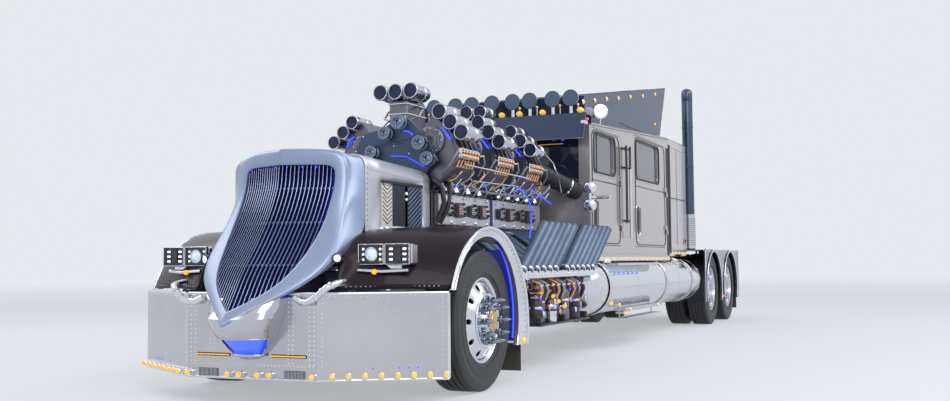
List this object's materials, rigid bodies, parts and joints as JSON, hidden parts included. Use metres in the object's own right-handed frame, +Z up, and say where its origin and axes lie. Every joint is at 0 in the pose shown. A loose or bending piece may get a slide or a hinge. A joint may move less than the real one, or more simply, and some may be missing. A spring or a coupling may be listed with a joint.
{
  "type": "semi truck tractor unit",
  "caption": "Long-nose custom road tractor: open twin engine with scoop hats, keeled grille, crew sleeper cab, tandem drive wheels and a fifth wheel.",
  "frame": {"origin": "on the ground below the middle of the truck's box", "axes": "+Z up, +Y to the rear, +X to the truck's left"},
  "size_m": [2.745, 12.476, 3.42],
  "materials": {
    "frame_paint": "gloss black",
    "axle_iron": "painted dark",
    "polished_bumper": "mirror polished",
    "amber_lamp": "clear amber, lit",
    "silver_blue_paint": "satin silver blue",
    "bar_steel": "satin",
    "screen_black": "dark mesh",
    "maroon_paint": "deep gloss maroon",
    "lamp_chrome": "polished",
    "engine_iron": "dark cast",
    "cast_aluminium": "cast and polished",
    "hat_aluminium": "spun, polished",
    "plate_blue": "anodised blue grey",
    "header_steel": "heat blued steel",
    "hose_rubber": "matt",
    "cab_paint": "satin silver taupe",
    "dark_glass": "tinted",
    "trim_leather": "dark stitched",
    "rail_black": "black and chrome",
    "dark_blue_paint": "dark blue satin",
    "lamp_cover": "dark blue grey",
    "boot_rubber": "matt black",
    "tank_aluminium": "polished",
    "tyre_rubber": "matt black",
    "wheel_aluminium": "polished",
    "wheel_rim_black": "black leather",
    "plate_steel": "greased steel"
  },
  "bodies": {
    "truck": {"chassis_frame": "frame_paint", "front_axle": "axle_iron", "rear_axles": "axle_iron", "front_bumper": "polished_bumper", "marker_lamps": "amber_lamp", "grille_shell": "silver_blue_paint", "grille_bars": "bar_steel", "chin_scoop": "polished_bumper", "hood_box": "silver_blue_paint", "cooling_pack": "screen_black", "front_fenders": "maroon_paint", "headlights": "lamp_chrome", "engine_block": "engine_iron", "engine_fittings": "cast_aluminium", "superchargers": "cast_aluminium", "scoop_hats": "hat_aluminium", "belt_drive": "plate_blue", "header_pipes": "header_steel", "engine_hoses": "hose_rubber", "cab_shell": "cab_paint", "windscreen": "dark_glass", "cab_interior": "trim_leather", "cab_brightwork": "rail_black", "roof_fairings": "dark_blue_paint", "roof_lamps": "lamp_cover", "rear_box": "cab_paint", "cab_boot": "boot_rubber", "exhaust_stacks": "dark_blue_paint", "fuel_tanks": "tank_aluminium", "rear_fenders": "maroon_paint", "mudflaps": "boot_rubber"},
    "knuckle_left": {"knuckle_left": "axle_iron"},
    "front_wheel_left": {"front_tyre_left": "tyre_rubber", "front_wheel_left": "wheel_aluminium"},
    "knuckle_right": {"knuckle_right": "axle_iron"},
    "front_wheel_right": {"front_tyre_right": "tyre_rubber", "front_wheel_right": "wheel_aluminium"},
    "track_rod": {"track_rod": "axle_iron"},
    "rear_wheel_left_1": {"rear_tyres_left_1": "tyre_rubber", "rear_wheel_left_1": "wheel_aluminium"},
    "rear_wheel_right_1": {"rear_tyres_right_1": "tyre_rubber", "rear_wheel_right_1": "wheel_aluminium"},
    "rear_wheel_left_2": {"rear_tyres_left_2": "tyre_rubber", "rear_wheel_left_2": "wheel_aluminium"},
    "rear_wheel_right_2": {"rear_tyres_right_2": "tyre_rubber", "rear_wheel_right_2": "wheel_aluminium"},
    "door_front_left": {"door_front_left": "cab_paint", "door_glass_front_left": "dark_glass"},
    "door_front_right": {"door_front_right": "cab_paint", "door_glass_front_right": "dark_glass"},
    "door_rear_left": {"door_rear_left": "cab_paint", "door_glass_rear_left": "dark_glass"},
    "door_rear_right": {"door_rear_right": "cab_paint", "door_glass_rear_right": "dark_glass"},
    "steering_wheel": {"steering_wheel": "wheel_rim_black"},
    "fifth_wheel_plate": {"fifth_wheel_plate": "plate_steel"}
  },
  "joints": [
    {"name": "steer_left", "type": "hinge", "parent": "truck", "child": "knuckle_left", "pos_m": [0.95, -4.662, 0.44], "axis": [0, 0, 1], "range_deg": [-32, 32]},
    {"name": "front_wheel_spin_left", "type": "hinge", "parent": "knuckle_left", "child": "front_wheel_left", "pos_m": [1.083, -4.662, 0.531], "axis": [1, 0, 0], "continuous": true},
    {"name": "steer_right", "type": "hinge", "parent": "truck", "child": "knuckle_right", "pos_m": [-0.95, -4.662, 0.44], "axis": [0, 0, 1], "range_deg": [-32, 32]},
    {"name": "front_wheel_spin_right", "type": "hinge", "parent": "knuckle_right", "child": "front_wheel_right", "pos_m": [-1.083, -4.662, 0.531], "axis": [1, 0, 0], "continuous": true},
    {"name": "track_rod_slide", "type": "slide", "parent": "truck", "child": "track_rod", "axis": [1, 0, 0], "range_m": [-0.13, 0.13]},
    {"name": "rear_wheel_left_1_spin", "type": "hinge", "parent": "truck", "child": "rear_wheel_left_1", "pos_m": [1.053, 4.086, 0.531], "axis": [1, 0, 0], "continuous": true},
    {"name": "rear_wheel_right_1_spin", "type": "hinge", "parent": "truck", "child": "rear_wheel_right_1", "pos_m": [-1.053, 4.086, 0.531], "axis": [1, 0, 0], "continuous": true},
    {"name": "rear_wheel_left_2_spin", "type": "hinge", "parent": "truck", "child": "rear_wheel_left_2", "pos_m": [1.053, 5.425, 0.531], "axis": [1, 0, 0], "continuous": true},
    {"name": "rear_wheel_right_2_spin", "type": "hinge", "parent": "truck", "child": "rear_wheel_right_2", "pos_m": [-1.053, 5.425, 0.531], "axis": [1, 0, 0], "continuous": true},
    {"name": "door_front_left_hinge", "type": "hinge", "parent": "truck", "child": "door_front_left", "pos_m": [1.064, -0.338, 1.5], "axis": [0, 0, 1], "range_deg": [0, 75]},
    {"name": "door_front_right_hinge", "type": "hinge", "parent": "truck", "child": "door_front_right", "pos_m": [-1.064, -0.338, 1.5], "axis": [0, 0, 1], "range_deg": [-75, 0]},
    {"name": "door_rear_left_hinge", "type": "hinge", "parent": "truck", "child": "door_rear_left", "pos_m": [1.064, 1.812, 1.5], "axis": [0, 0, 1], "range_deg": [0, 75]},
    {"name": "door_rear_right_hinge", "type": "hinge", "parent": "truck", "child": "door_rear_right", "pos_m": [-1.064, 1.812, 1.5], "axis": [0, 0, 1], "range_deg": [-75, 0]},
    {"name": "steering_wheel_turn", "type": "hinge", "parent": "truck", "child": "steering_wheel", "pos_m": [0.5, -0.902, 1.62], "axis": [0, 0.7809, 0.6247], "range_deg": [-520, 520]},
    {"name": "fifth_wheel_tilt", "type": "hinge", "parent": "truck", "child": "fifth_wheel_plate", "pos_m": [0, 4.7555, 1.06], "axis": [1, 0, 0], "range_deg": [-12, 12]}
  ],
  "couplings": [
    {"joint": "steer_right", "follows": "steer_left", "ratio": 1},
    {"joint": "track_rod_slide", "follows": "steer_left", "m_per_rad": -0.218},
    {"joint": "steering_wheel_turn", "follows": "steer_left", "ratio": 16}
  ]
}
